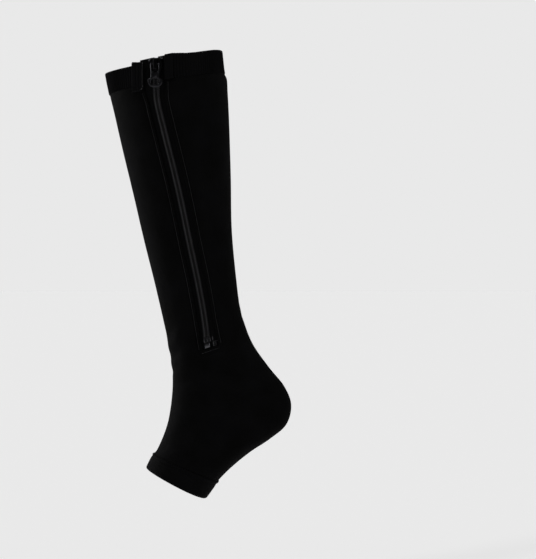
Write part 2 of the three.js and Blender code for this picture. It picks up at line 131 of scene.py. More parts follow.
lens = bpy.data.cameras.new("camera")
lens.lens = LENS_MM
lens.sensor_width = 36
lens.clip_end = 200
camera = bpy.data.objects.new("camera", lens)
camera.location = CAMERA_PLACE
camera.rotation_euler = (math.pi / 2, 0, 0)
bpy.context.scene.collection.objects.link(camera)
bpy.context.scene.camera = camera
bpy.context.scene.view_settings.view_transform = "Standard"

# The leg and foot: one tube of dense black knit, nylon round an elastic core, in the shape it has
# when worn. Its two raw edges along the zip are turned under and sewn down, which leaves a rolled
# edge with a groove behind it. Each row gives the ends of a ring round the leg in the side view,
# its width, how much its back is wider than its front, and the zip's place from front to back.
RINGS = np.array([
    # front x, z, back x, z, width, egg, zip
    (-58.6, -7.5, 57.7, 15.4, 110.6, 0.03, 0.460),  # above the rim
    (-57.8, -11.4, 58.2, 11.4, 111, 0.03, 0.454),  # top rim
    (-53.4, -33, 61, -11.5, 111, 0.03, 0.4235),  # hem of the top band
    (-52.6, -36.5, 63.2, -16, 112, 0.04, 0.413),  # calf at the band
    (-49.8, -48, 64.2, -30, 111, 0.05, 0.401),
    (-42.6, -79, 65.8, -61, 105, 0.06, 0.419),  # full calf
    (-30, -132, 67.4, -115, 93, 0.06, 0.468),
    (-17.5, -185, 68.6, -170, 80, 0.03, 0.512),  # shin
    (-6.4, -230, 72.9, -217, 70, 0, 0.535),
    (3, -272, 77.3, -247, 64, -0.05, 0.526),  # ankle
    (8, -305, 88, -279, 63, -0.1, 0.471),
    (9.2, -322, 105.4, -304.5, 64, -0.15, 0.383),
    (8.4, -335, 121, -324, 65, -0.18, 0.333),
    (6.8, -347, 127.7, -342, 65, -0.18, 0.32),  # heel
    (4.7, -358, 123, -361.5, 66, -0.12, 0.32),
    (1, -370, 106, -376.5, 68, -0.02, 0.35),  # instep
    (-3, -380, 87, -389, 71, 0.06, 0.4),
    (-7, -388, 69, -403.5, 74, 0.09, 0.44),  # sole
    (-9.2, -390.5, 55, -417.5, 78, 0.1, 0.46),  # hem of the toe band
    (-17, -405, 42, -435.3, 82, 0.1, 0.48),  # toe rim
])
RIM_ROW, TOE_HEM_ROW, LAST_ROW = 1, len(RINGS) - 2, len(RINGS) - 1
SQUARENESS = 2.2
GAP = 0.3
SEAM_LAP = 0.3
KNIT_THICKNESS = 1.2
BAND_HEIGHT = 22.5
SLOT_END = 288.5
SLOT_DOWN = (-10, 26, 42, 262, 278, SLOT_END, 460)
SLOT_FRONT = (13, 13, 8.5, 7.5, 6.6, 5.4, 5.4)
SLOT_REAR = (8.5, 9, 8.5, 8.5, 10, 11.5, 11.5)
# Height of the knit over the skin at a distance from the slot: rolled edge, sewn groove, field
EDGE_AWAY = (0, 0.4, 0.9, 1.5, 2.3, 3.2, 4.2, 5.6, 8, 20, 34)
EDGE_RISE_FRONT = (-0.55, 0.4, 0.65, 0.4, -0.2, -0.5, -0.35, 0.25, 0.5, 0.3, 0)
EDGE_RISE_REAR = (-0.55, 0.3, 0.5, 0.3, -0.1, -0.5, -0.5, -0.2, 0.5, 0.45, 0)
# Creases: distance down, degrees round from the back by the zip, half length, half width, slope
# in degrees from level, and rise, in mm. The far side's are like those that show.
CREASES = (
    (36, 113, 8, 2.2, 30, -0.5),
    (41, 116, 9, 2.6, 30, 0.35),
    (180, 98, 5, 1.6, -70, -0.55),
    (190, 97, 6, 1.6, 60, -0.5),
    (222, 99, 6, 1.8, -60, -0.5),
    (262, 150, 22, 5, 12, -0.7),
    (274, 158, 20, 5, 10, 0.6),
    (285, 150, 26, 5, 14, -0.8),
    (300, 165, 22, 6, 6, -0.7),
    (318, 150, 24, 6, -8, -0.6),
    (262, 212, 20, 5, -12, -0.7),
    (284, 208, 26, 5, -10, -0.9),
    (303, 200, 22, 6, -8, -0.7),
    (255, 20, 18, 5, -18, -0.6),
    (268, -16, 20, 5, 14, -0.7),
    (272, 30, 16, 5, -24, 0.5),
    (66, 262, 26, 6, 14, -0.5),
    (150, 250, 24, 7, -22, -0.4),
    (60, 40, 24, 7, -12, -0.45),
    (128, 30, 22, 7, 16, -0.4),
    (370, 120, 22, 6, 32, -0.5),
    (388, 60, 20, 6, 30, -0.6),
    (380, 245, 24, 6, -30, -0.6),
    (404, 285, 22, 6, -30, -0.5),
)


def through(points, rows):
    """The centripetal Catmull-Rom curve through points, at row numbers with their fractions."""
    points = np.vstack([2 * points[0] - points[1], points, 2 * points[-1] - points[-2]])
    first = np.clip(np.floor(rows).astype(int), 0, LAST_ROW - 1)
    p0, p1, p2, p3 = (points[first + k] for k in range(4))
    root = lambda a, b: np.sqrt(np.linalg.norm(b - a, axis=-1, keepdims=True))
    t0, t1, t2 = root(p0, p1), root(p1, p2), root(p2, p3)
    start = ((p1 - p0) / t0 - (p2 - p0) / (t0 + t1) + (p2 - p1) / t1) * t1
    end = ((p2 - p1) / t1 - (p3 - p1) / (t1 + t2) + (p3 - p2) / t2) * t1
    t = (rows - first)[..., None]
    return (
        p1 + start * t + (3 * (p2 - p1) - 2 * start - end) * t**2 + (2 * (p1 - p2) + start + end) * t**3
    )


FRONTS = RINGS[:, [0, 1]] @ np.array([[1, 0, 0], [0, 0, 1]])
BACKS = RINGS[:, [2, 3]] @ np.array([[1, 0, 0], [0, 0, 1]])
GIRTHS = RINGS[:, 4:] * (1, 100, 100)
middles = (FRONTS + BACKS) / 2
ROW_DOWN = np.append(0, np.cumsum(np.linalg.norm(np.diff(middles, axis=0), axis=1)))
ROW_DOWN -= ROW_DOWN[RIM_ROW]
TOE_HEM, TOE_RIM = ROW_DOWN[TOE_HEM_ROW], ROW_DOWN[LAST_ROW]


def row_at(down):
    return np.interp(down, ROW_DOWN, np.arange(LAST_ROW + 1))


def ring_at(down):
    """Front, back, half width, egg and zip share of the ring at a distance down the leg."""
    rows = row_at(down)
    girth = through(GIRTHS, rows)
    return through(FRONTS, rows), through(BACKS, rows), girth[..., 0] / 2, girth[..., 1] / 100, girth[..., 2] / 100


def squared(value, power=2 / SQUARENESS):
    return np.sign(value) * np.abs(value) ** power


def bare_skin(down, angle):
    front, back, half_width, egg, zip_share = ring_at(down)
    along = squared(np.cos(angle))
    point = front + (back - front) * ((1 + along) / 2)[..., None]
    point[..., 1] -= squared(np.sin(angle)) * (1 + egg * along) * half_width
    return point


def skin(down, angle, lift=0.0):
    """Points in mm at a distance down the leg, an angle round from the back, and a height over the skin."""
    down, angle, lift = np.broadcast_arrays(np.asarray(down, float), angle, lift)
    middle = np.clip(down, ROW_DOWN[0] + 0.5, TOE_RIM - 0.5)
    downward = bare_skin(middle + 0.5, angle) - bare_skin(middle - 0.5, angle)
    rearward = bare_skin(middle, angle - 0.02) - bare_skin(middle, angle + 0.02)
    normal = np.cross(downward, rearward)
    normal /= np.linalg.norm(normal, axis=-1, keepdims=True)
    return bare_skin(down, angle) + normal * lift[..., None]


def beside_angle(down, rearward):
    """The angle of a place on the zip's side, so many mm behind the zip's centre line."""
    front, back, half_width, egg, zip_share = ring_at(np.asarray(down, float))
    share = zip_share + rearward / np.linalg.norm(back - front, axis=-1)
    return np.arccos(np.clip(squared(2 * share - 1, SQUARENESS / 2), -1, 1))


def sheet_mesh(points, uv, keep=None):
    """A grid of cloth laid on points in mm, rows by columns, without the cells that keep is false for."""
    rows, columns = points.shape[0] - 1, points.shape[1] - 1
    bm = bmesh.new()
    bmesh.ops.create_grid(bm, x_segments=columns, y_segments=rows, size=1)
    where = np.rint((np.array([v.co[:2] for v in bm.verts]) + 1) / 2 * (columns, rows)).astype(int)
    layer = bm.loops.layers.uv.new("UVMap")
    spots = [(i, j) for j, i in where.tolist()]
    for face in bm.faces:
        for loop in face.loops:
            loop[layer].uv = uv[spots[loop.vert.index]]
    if keep is not None:
        cells = [tuple(np.min([spots[v.index] for v in face.verts], axis=0)) for face in bm.faces]
        gone = [face for face, cell in zip(bm.faces, cells) if not keep[cell]]
    for vert, spot in zip(bm.verts, spots):
        vert.co = points[spot] / 1000
    if keep is not None:
        bmesh.ops.delete(bm, geom=gone, context="FACES")
    bmesh.ops.remove_doubles(bm, verts=bm.verts, dist=2e-6)
    bmesh.ops.recalc_face_normals(bm, faces=bm.faces)
    return bm


def thicken(piece, thickness_mm):
    wall = piece.modifiers.new("cloth_wall", "SOLIDIFY")
    wall.thickness = thickness_mm / 1000
    wall.offset = -1
    return wall


def crease_lift(down, angle):
    """The rise and fall of all the creases at once."""
    lift = np.zeros_like(angle)
    for at_down, degrees, length, width, slope, rise in CREASES:
        turn = (angle - math.radians(degrees) + math.pi) % (2 * math.pi) - math.pi
        half_width = np.interp(at_down, ROW_DOWN, GIRTHS[:, 0]) / 2
        across, along = turn * half_width * 1.15, down - at_down
        c, s = math.cos(math.radians(slope)), math.sin(math.radians(slope))
        run, off = across * c + along * s, along * c - across * s
        bend = off + 0.012 * run**2
        lift += rise * np.exp(-((bend / width) ** 2)) * np.clip(1 - (run / length) ** 2, 0, 1) ** 1.5
    return lift


def knit_pattern(tree, wale_mm, course_mm):
    """Height of a jersey face: columns of V stitches, from a UV map in mm."""
    place = add(tree, "ShaderNodeSeparateXYZ", {0: add(tree, "ShaderNodeUVMap").outputs[0]})
    wales = add(tree, "ShaderNodeMath", {0: place.outputs[0], 1: wale_mm}, operation="DIVIDE")
    courses = add(tree, "ShaderNodeMath", {0: place.outputs[1], 1: course_mm}, operation="DIVIDE")
    slant = add(tree, "ShaderNodeMath", {0: wales.outputs[0], 1: 0.5}, operation="PINGPONG")
    phase = add(tree, "ShaderNodeMath", {0: courses.outputs[0], 1: slant.outputs[0]}, operation="ADD")
    turn = add(tree, "ShaderNodeMath", {0: phase.outputs[0], 1: 2 * math.pi}, operation="MULTIPLY")
    loop = add(tree, "ShaderNodeMath", {0: turn.outputs[0]}, operation="SINE")
    leg = add(tree, "ShaderNodeMath", {0: slant.outputs[0], 1: 0.25}, operation="SUBTRACT")
    valley = add(tree, "ShaderNodeMath", {0: leg.outputs[0]}, operation="ABSOLUTE")
    return add(tree, "ShaderNodeMath", {0: valley.outputs[0], 1: -4.0, 2: loop.outputs[0]}, operation="MULTIPLY_ADD")


# Nylon and elastane jersey, dyed black: matt, with a faint sheen where it turns away. Its real
# wales are 0.6 mm apart, and they are drawn 1.1 mm apart so that they show.
WALES_ROUND_MM = 330
jersey, tree, shader = new_material(
    "black_nylon_elastane_jersey", "#0E0E0E", 0.7, Specular_IOR_Level=0.012, Sheen_Weight=0.006, Sheen_Roughness=0.5
)
stitches = knit_pattern(tree, 1.1, 0.9)
bump = add(tree, "ShaderNodeBump", {"Strength": 0.35, "Distance": 0.0002, "Height": stitches.outputs[0]})
tree.links.new(bump.outputs[0], shader.inputs["Normal"])
spot = add(tree, "ShaderNodeTexCoord").outputs["Object"]
wear = add(tree, "ShaderNodeTexNoise", {"Vector": spot, "Scale": 38.0, "Detail": 5.0})
shades = add(tree, "ShaderNodeMapRange", {"Value": wear.outputs[0], "From Min": 0.35, "From Max": 0.65})
dye = add(
    tree, "ShaderNodeMix", {"Factor": shades.outputs[0], 6: linear("#0B0B0B"), 7: linear("#0F0F10")}, data_type="RGBA"
)
tree.links.new(dye.outputs[2], shader.inputs["Base Color"])

knit_downs = np.concatenate([
    np.linspace(BAND_HEIGHT - SEAM_LAP, 60, 26),
    np.linspace(60, 280, 128)[1:],
    np.linspace(280, 300, 20)[1:],
    np.linspace(300, TOE_HEM + SEAM_LAP, 76)[1:],
])
beside_mm = np.array([0, 0.4, 0.9, 1.5, 2.3, 3.2, 4.2, 5.6, 8, 11, 14, 17, 20])
ROUND_COLUMNS, SLOT_COLUMNS = 112, 8
down = knit_downs[:, None]
slot_front, slot_rear = (np.interp(knit_downs, SLOT_DOWN, table)[:, None] for table in (SLOT_FRONT, SLOT_REAR))
rear_angles = beside_angle(down, slot_rear + beside_mm[None])
front_angles = beside_angle(down, -slot_front - beside_mm[None, ::-1])
turn = np.linspace(0, 1, ROUND_COLUMNS + 1)[None, 1:-1]
round_angles = rear_angles[:, -1:] - turn * (2 * math.pi - front_angles[:, :1] + rear_angles[:, -1:])
across = np.linspace(0, 1, SLOT_COLUMNS + 1)[None, 1:]
slot_angles = beside_angle(down, -slot_front + (slot_front + slot_rear) * across)
slot_angles[:, -1] = rear_angles[:, 0]
angles = np.hstack([rear_angles, round_angles, front_angles - 2 * math.pi, slot_angles - 2 * math.pi])
near = len(beside_mm)
away = np.full_like(angles, 99.0)
away[:, :near] = beside_mm
away[:, near + ROUND_COLUMNS - 1 : 2 * near + ROUND_COLUMNS - 1] = beside_mm[::-1]
away[:, 2 * near + ROUND_COLUMNS - 1 :] = 0
run = np.arange(ROUND_COLUMNS + 1)[1:-1]
pace = 2.6
away[:, near : near + ROUND_COLUMNS - 1] = 20 + pace * np.minimum(run, ROUND_COLUMNS - run)
below = np.maximum(down - SLOT_END, 0)
away = np.hypot(away, below)
uneven = 1 + 0.12 * np.sin(down / 17) + 0.08 * np.sin(down / 7.3 + 1)
rearness = np.interp(
    np.arange(angles.shape[1]),
    (0, near + 6, near + ROUND_COLUMNS - 8, angles.shape[1] - 1 - SLOT_COLUMNS, angles.shape[1] - 1),
    (1, 1, 0, 0, 1),
)[None]
rise_rear, rise_front = (np.interp(away, EDGE_AWAY, table) for table in (EDGE_RISE_REAR, EDGE_RISE_FRONT))
rise = rise_front + (rise_rear - rise_front) * rearness
rise *= np.interp(down, (BAND_HEIGHT, BAND_HEIGHT + 4, 250, 284, 300), (0.5, 1, 1, 1.7, 1)) * uneven
soft_waves = 0.16 * np.sin(angles * 3 + down / 31) * np.sin(down / 23 + 1.3) + 0.08 * np.sin(angles * 7 - down / 13)
lift = rise + crease_lift(down, angles) + soft_waves * np.clip(away / 25, 0, 1)
columns = angles.shape[1]
keep = np.ones((len(knit_downs) - 1, columns - 1), bool)
keep[(knit_downs[1:] <= SLOT_END + 0.01), columns - 1 - SLOT_COLUMNS :] = False
uv = np.dstack(np.broadcast_arrays(np.linspace(0, WALES_ROUND_MM, columns)[None], down))
knit = finish_mesh("stocking_knit_cloth", sheet_mesh(skin(down, angles, lift), uv, keep), jersey)
thicken(knit, KNIT_THICKNESS)
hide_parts("stocking_knit")
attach(knit, "stocking")

# The top band: a welt of the same yarn knitted in deep ribs and folded over, so its rim is round.
# It grips the calf, and it stops at each side of the zip.
BAND_OVER = 0.8
RIB_DEPTH = 1.0
RIB_COUNT = 118
COLUMNS_PER_RIB = 6
# Round the folded band's section, from the hem over the rim and down inside: mm down, mm over
# the skin, and how deep the ribs are
BAND_SECTION = (
    (22.5, -0.6, 0.3), (22.5, 0.2, 0.6), (22.1, 0.65, 0.9), (21.4, 0.8, 1), (17, 0.85, 1), (12, 0.9, 1), (7, 0.85, 1),
    (3, 0.8, 1), (1.3, 0.75, 0.9), (0.5, 0.45, 0.8), (0.05, -0.1, 0.6), (0.3, -0.7, 0.4), (1.1, -1.15, 0.3),
    (6, -1.2, 0.3), (12, -1.2, 0.3), (18, -1.2, 0.3), (22, -1.1, 0.3), (22.5, -0.6, 0.3),
)
welt, tree, shader = new_material(
    "black_ribbed_welt", "#101011", 0.7, Specular_IOR_Level=0.012, Sheen_Weight=0.005, Sheen_Roughness=0.5
)
stitches = knit_pattern(tree, 1.0, 0.9)
bump = add(tree, "ShaderNodeBump", {"Strength": 0.3, "Distance": 0.0002, "Height": stitches.outputs[0]})
tree.links.new(bump.outputs[0], shader.inputs["Normal"])


def round_angle(down, share):
    """The angle at a share of the way round, from the slot's rear edge by the heel to its front edge."""
    rear = beside_angle(down, np.interp(down, SLOT_DOWN, SLOT_REAR))
    front = beside_angle(down, -np.interp(down, SLOT_DOWN, SLOT_FRONT))
    return rear - share * (2 * math.pi - front + rear)


def cap_ends(bm):
    """Closes the open ends of a cloth roll, and turns all its faces outwards."""
    bmesh.ops.holes_fill(bm, edges=[edge for edge in bm.edges if edge.is_boundary], sides=0)
    bmesh.ops.recalc_face_normals(bm, faces=bm.faces)
    return bm


# How far the worn rim rises and dips along its round, as a share of the way from the zip by the
# heel to the zip's front
RIM_SHARE = (0, 0.018, 0.035, 0.06, 0.09, 0.13, 0.17, 0.26, 0.4, 0.62, 0.82, 0.87, 0.92, 0.955, 0.985, 1)
RIM_RISE = (1.4, 2.2, 1.2, 0, -0.9, -0.7, -0.2, 0, -0.3, 0.3, -0.8, -1.6, -2.2, -2.7, -2.4, -1)
section = np.array(BAND_SECTION)
share = np.linspace(0, 1, RIB_COUNT * COLUMNS_PER_RIB + 1)[None]
rib = (np.cos(2 * math.pi * RIB_COUNT * share) - 1) / 2 * (1 + 0.25 * np.sin(share * 57))
down = section[:, :1] - np.interp(share, RIM_SHARE, RIM_RISE) * (1 - section[:, :1] / BAND_HEIGHT)
lift = section[:, 1:2] + RIB_DEPTH * section[:, 2:] * rib * np.sign(section[:, 1:2] + 1)
along_section = np.append(0, np.cumsum(np.hypot(*np.diff(section[:, :2], axis=0).T)))
uv = np.dstack(np.broadcast_arrays(share * WALES_ROUND_MM, along_section[:, None]))
band = finish_mesh("top_band_ribs", cap_ends(sheet_mesh(skin(down, round_angle(down, share), lift), uv)), welt)
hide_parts("top_band")
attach(band, "stocking")

# The ends of the band beside the zip: the ribbed welt is turned back over itself and sewn down,
# so each end is a second layer with a round fold towards the zip.
END_THICKNESS = 0.7
TOP_CORNER = 1.2
FOLD_RISE = 1.2


def band_end(name, first, last, tops, bottom, ribs, corner, fold_at):
    """A turned end from first to last mm behind the zip, with round corners and a fold at one side."""
    across = np.linspace(0, 1, ribs * 8 + 1)[None]
    rearward = first + (last - first) * across
    into = np.maximum(0, corner - np.abs(rearward - fold_at))
    floor = bottom - corner + np.sqrt(corner**2 - into**2)
    near_side = np.maximum(0, TOP_CORNER - np.minimum(rearward - first, last - rearward))
    ceiling = tops[0] + (tops[1] - tops[0]) * across + TOP_CORNER - np.sqrt(TOP_CORNER**2 - near_side**2)
    down = ceiling + (floor - ceiling) * np.linspace(0, 1, 41)[:, None]
    border = np.minimum.reduce(np.broadcast_arrays(rearward - first, last - rearward, down - ceiling, floor - down))
    fold = np.minimum(np.abs(rearward - fold_at), floor - down)
    lift = 1.9 - 0.75 * np.abs(rearward - fold_at) / (last - first)
    lift = lift + 0.3 * np.sqrt(1 - (1 - np.clip(border / 1.0, 0, 1)) ** 2)
    lift += FOLD_RISE * np.exp(-(((fold - 0.9) / 0.8) ** 2)) * np.clip(fold / 0.4, 0, 1)
    lift += 0.28 * (np.cos(2 * math.pi * ribs * across) - 1) * np.clip((border - 1.6) / 1.5, 0, 1)
    lift -= 0.7 * np.clip((down - BAND_HEIGHT) / 3, 0, 1)
    uv = np.dstack(np.broadcast_arrays(rearward, down))
    piece = finish_mesh(name, sheet_mesh(skin(down, beside_angle(down, rearward), lift), uv), welt)
    thicken(piece, END_THICKNESS)
    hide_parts(name.replace("_fold", ""))
    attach(piece, "stocking")
    return piece


front_end = band_end("welt_end_front_fold", -24, -11.6, (-1.2, 1.2), 29.5, 4, 4, -11.6)
rear_end = band_end("welt_end_rear_fold", 8.5, 17.5, (-1.7, -1.9), 22, 3, 1.2, 8.5)

# The toe band: plain, doubled and sewn on with a flat seam, which stands as a low roll along its
# upper edge. The toe is left open.
TOE_SECTION = (
    (0, -0.9, 0), (0, 0.0, 0), (0.3, 0.7, 0), (1, 1.15, 0), (1.9, 1.25, 0), (2.8, 0.9, 0), (3.5, 0.45, 0), (4.3, 0.5, 0),
    (5.6, 0.8, 0), (9, 0.9, 0), (13, 0.85, 0), (16.5, 0.75, 0), (18, 0.6, 0), (18.9, 0.1, 0), (19.15, -0.4, 0),
    (18.8, -0.95, 0), (17.5, -1.2, 0), (12, -1.2, 0), (6, -1.2, 0), (1, -1.2, 0), (0, -0.9, 0),
)
TOE_COLUMNS = 150
section = np.array(TOE_SECTION)
share = np.linspace(0, 1, TOE_COLUMNS + 1)[None]
down = TOE_HEM + section[:, :1] + 0 * share
angles = -2 * math.pi * share
lift = section[:, 1:2] + 0.12 * np.sin(angles * 5 + 1) * (section[:, 1:2] > 0.3)
along_section = np.append(0, np.cumsum(np.hypot(*np.diff(section[:, :2], axis=0).T)))
uv = np.dstack(np.broadcast_arrays(share * 250, along_section[:, None]))
toe = finish_mesh("toe_band_hem", sheet_mesh(skin(down, angles, lift), uv), jersey)
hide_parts("toe_band")
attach(toe, "stocking")

# The zip's tapes: two strips of polyester twill, sewn under the edges of the knit. They lie below
# it, and only the part between the coil and the rolled edge shows.
TAPE_OUTER_LIFT = -1.75
TAPE_WIDTH = 16.5
TAPE_TOP, TAPE_END = -1.4, 298
PARTING_DOWN, PARTING_HALF = (-10, 7, 14, 460), (1.9, 1.9, 0.15, 0.15)
twill, tree, shader = new_material("black_polyester_twill", "#0D0D0E", 0.6, Specular_IOR_Level=0.04)
place = add(tree, "ShaderNodeSeparateXYZ", {0: add(tree, "ShaderNodeUVMap").outputs[0]})
chevron = add(tree, "ShaderNodeMath", {0: place.outputs[0], 1: 2.0}, operation="PINGPONG")
diagonal = add(tree, "ShaderNodeMath", {0: place.outputs[1], 1: chevron.outputs[0]}, operation="ADD")
thread = add(tree, "ShaderNodeMath", {0: diagonal.outputs[0], 1: 2 * math.pi / 0.7}, operation="MULTIPLY")
weave = add(tree, "ShaderNodeMath", {0: thread.outputs[0]}, operation="SINE")
bump = add(tree, "ShaderNodeBump", {"Strength": 0.5, "Distance": 0.0002, "Height": weave.outputs[0]})
tree.links.new(bump.outputs[0], shader.inputs["Normal"])

for side, label in ((-1, "front"), (1, "rear")):
    tape_down = np.linspace(TAPE_TOP, TAPE_END, 161)[:, None]
    parted = np.interp(tape_down, PARTING_DOWN, PARTING_HALF)
    across = np.linspace(0, 1, 13)[None]
    out = parted + (TAPE_WIDTH - parted) * across
    lift = TAPE_OUTER_LIFT + 0.06 * np.sin(tape_down / 3.1 + side) * across * (1 - across)
    uv = np.dstack(np.broadcast_arrays(out, tape_down))
    points = skin(tape_down, beside_angle(tape_down, side * out), lift)
    tape = finish_mesh(f"zip_tape_{label}_twill", sheet_mesh(points, uv), twill)
    thicken(tape, 0.8)
    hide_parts(f"zip_tape_{label}")
    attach(tape, "stocking")

# The zip's chain: a nylon monofilament wound into a flat coil along the edge of each tape, with
# the two coils hooked into each other, and parted round the slider's post at the top.
COIL_PITCH = 2.25
WIRE = 0.95
COIL_WIDTH = 3.4
COIL_LOW, COIL_HIGH = TAPE_OUTER_LIFT + GAP, 1.2
COIL_HOOK = 0.35
COIL_TOP = {"front": 2.0, "rear": 2.9}
COIL_END = 282.7
POINTS_PER_TURN = 10
nylon, tree, shader = new_material("black_nylon_monofilament", "#121214", 0.25, Specular_IOR_Level=0.5)
spot = add(tree, "ShaderNodeTexCoord").outputs["Object"]
scuffs = add(tree, "ShaderNodeTexNoise", {"Vector": spot, "Scale": 900.0, "Detail": 3.0})
gloss = add(tree, "ShaderNodeMapRange", {"Value": scuffs.outputs[0], "To Min": 0.26, "To Max": 0.46})
tree.links.new(gloss.outputs[0], shader.inputs["Roughness"])


def wire_mesh(routes, radius_mm, material, name, sides_resolution=1, closed=False):
    """Round wires or threads along routes of points in mm, as one joined mesh."""
    curve = bpy.data.curves.new(name, "CURVE")
    curve.dimensions = "3D"
    curve.bevel_depth = radius_mm / 1000
    curve.bevel_resolution = sides_resolution
    curve.use_fill_caps = True
    for route in routes:
        spline = curve.splines.new("POLY")
        spline.points.add(len(route) - 1)
        for point, place in zip(spline.points, route):
            point.co = (*(place / 1000), 1)
        spline.use_cyclic_u = closed
    model = bpy.data.objects.new(name, curve)
    bpy.context.scene.collection.objects.link(model)
    mesh = bpy.data.meshes.new_from_object(model.evaluated_get(bpy.context.evaluated_depsgraph_get()))
    bpy.data.objects.remove(model)
    bpy.data.curves.remove(curve)
    bm = bmesh.new()
    bm.from_mesh(mesh)
    bpy.data.meshes.remove(mesh)
    bmesh.ops.remove_doubles(bm, verts=bm.verts, dist=1e-7)
    bmesh.ops.recalc_face_normals(bm, faces=bm.faces)
    return finish_mesh(name, bm, material)


for side, label in ((-1, "front"), (1, "rear")):
    turns = (COIL_END - COIL_TOP[label] - WIRE) / COIL_PITCH
    turn = np.arange(0, turns, 1 / POINTS_PER_TURN)
    coil_down = COIL_TOP[label] + WIRE / 2 + turn * COIL_PITCH
    if side > 0:
        coil_down = coil_down + (COIL_PITCH / 2 + COIL_TOP["front"] - COIL_TOP["rear"]) % COIL_PITCH - 0.02
    parted = np.interp(coil_down, PARTING_DOWN, PARTING_HALF)
    hook = COIL_HOOK * np.clip((1.9 - parted) / 1.75, 0, 1)
    half = (COIL_WIDTH - WIRE + hook) / 2
    out = parted + WIRE / 2 - hook + half - half * squared(np.cos(2 * math.pi * turn), 0.7)
    half_height = (COIL_HIGH - COIL_LOW - WIRE) / 2
    lift = (COIL_HIGH + COIL_LOW) / 2 + half_height * squared(np.sin(2 * math.pi * turn), 0.7)
    kept = coil_down < COIL_END - WIRE / 2
    coil_down, out, lift = coil_down[kept], out[kept], lift[kept]
    route = skin(coil_down, beside_angle(coil_down, side * out), lift)
    coil = wire_mesh([route], WIRE / 2, nylon, f"zip_coil_{label}_wire")
    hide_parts(f"zip_coil_{label}")
    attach(coil, "stocking")

# The metal parts of the zip, die-cast zinc plated in black nickel: the slider's shield-shaped body
# with its bail, and the stops that are clamped on the coils' ends.
SLIDER_DOWN = 6.0
SLIDER_LENGTH = 13.2
SLIDER_HALF, SLIDER_TAIL_HALF, SLIDER_TOP_HALF = 6.6, 4.9, 4.2
SHOULDER_LOW, SHOULDER_HIGH = 0.0, 2.6
SLIDER_WALL = 1.0
PLATE_LOW, PLATE_HIGH = 1.5, 2.9
FLANGE_LOW = -1.2
BACK_PLATE_LOW, BACK_PLATE_HIGH = -4.4, -3.4
gunmetal, tree, shader = new_material("black_nickel_plated_zinc", "#38383B", 0.2, Metallic=1.0)
spot = add(tree, "ShaderNodeTexCoord").outputs["Object"]
scratches = add(tree, "ShaderNodeTexNoise", {"Vector": spot, "Scale": 1400.0, "Detail": 4.0})
gloss = add(tree, "ShaderNodeMapRange", {"Value": scratches.outputs[0], "To Min": 0.14, "To Max": 0.26})
tree.links.new(gloss.outputs[0], shader.inputs["Roughness"])
pits = add(tree, "ShaderNodeBump", {"Strength": 0.12, "Distance": 0.0001, "Height": scratches.outputs[0]})
tree.links.new(pits.outputs[0], shader.inputs["Normal"])


# The slider's body is the same metal made darker: painted shade, for the shade it lies in behind the pull
shade_darkened_zinc, tree, shader = new_material("zinc_darkened_for_painted_shade", "#19191B", 0.2, Metallic=1.0)

# The stops are the same metal made paler: painted highlight, for the glints they catch
highlight_paled_zinc, tree, shader = new_material("zinc_paled_for_painted_highlight", "#5E5E62", 0.22, Metallic=1.0)


def zip_point(down, rearward, lift):
    return Vector(skin(np.float64(down), beside_angle(down, rearward), lift))


def slider_frame():
    """The slider's own axes: x rearward, y up the zip, z out of the cloth, in mm."""
    above = zip_point(SLIDER_DOWN - SLIDER_LENGTH / 2, 0, 0)
    below = zip_point(SLIDER_DOWN + SLIDER_LENGTH / 2, 0, 0)
    up = (above - below).normalized()
    out = (zip_point(SLIDER_DOWN, 0, 1) - zip_point(SLIDER_DOWN, 0, 0)).normalized()
    rearward = up.cross(out).normalized()
    out = rearward.cross(up)
    return Matrix.Translation((above + below) / 2) @ Matrix((rearward, up, out)).transposed().to_4x4()


MM = Matrix.Scale(0.001, 4)


def add_plate(bm, outline, low, high, soften, turn=Matrix()):
    """A plate of an outline in x and y between two heights, with its edges softened."""
    verts = [bm.verts.new((x, y, low)) for x, y in outline]
    face = bm.faces.new(verts)
    raised = bmesh.ops.extrude_face_region(bm, geom=[face])["geom"]
    top = [item for item in raised if isinstance(item, bmesh.types.BMVert)]
    bmesh.ops.translate(bm, verts=top, vec=(0, 0, high - low))
    solid = verts + top
    edges = list({edge for vert in solid for edge in vert.link_edges})
    softened = bmesh.ops.bevel(
        bm, geom=edges, offset=soften, segments=3, profile=0.5, material=-1, affect="EDGES", clamp_overlap=True
    )
    solid = list({v for f in softened["faces"] for v in f.verts} | {v for v in solid if v.is_valid})
    bmesh.ops.transform(bm, matrix=turn, verts=solid)


def shield(inset):
    shoulder, tail, crown, end = SLIDER_HALF - inset, SLIDER_TAIL_HALF - inset, SLIDER_TOP_HALF - inset, SLIDER_LENGTH / 2
    right = [(tail, -end), (shoulder, SHOULDER_LOW), (shoulder, SHOULDER_HIGH), (crown, end)]
    return right + [(-x, y) for x, y in reversed(right)]


slider_bm = bmesh.new()
add_plate(slider_bm, shield(0), PLATE_LOW, PLATE_HIGH, 0.45)
add_plate(slider_bm, shield(1.4), BACK_PLATE_LOW, BACK_PLATE_HIGH, 0.3)
half_length = SLIDER_LENGTH / 2
for hand in (-1, 1):
    flange = [
        (SLIDER_TAIL_HALF, -half_length + 0.3), (SLIDER_HALF, SHOULDER_LOW), (SLIDER_HALF, SHOULDER_HIGH - SLIDER_WALL),
        (SLIDER_HALF - SLIDER_WALL, SHOULDER_HIGH - SLIDER_WALL), (SLIDER_HALF - SLIDER_WALL, SHOULDER_LOW),
        (SLIDER_TAIL_HALF - SLIDER_WALL, -half_length + 0.3),
    ]
    add_plate(slider_bm, [(hand * x, y) for x, y in flange][::hand], FLANGE_LOW, PLATE_LOW + 0.3, 0.2)
post = [(0, 1.0), (1.4, 3.3), (0, 5.6), (-1.4, 3.3)]
add_plate(slider_bm, post, BACK_PLATE_HIGH - 0.5, PLATE_LOW + 0.7, 0.15)
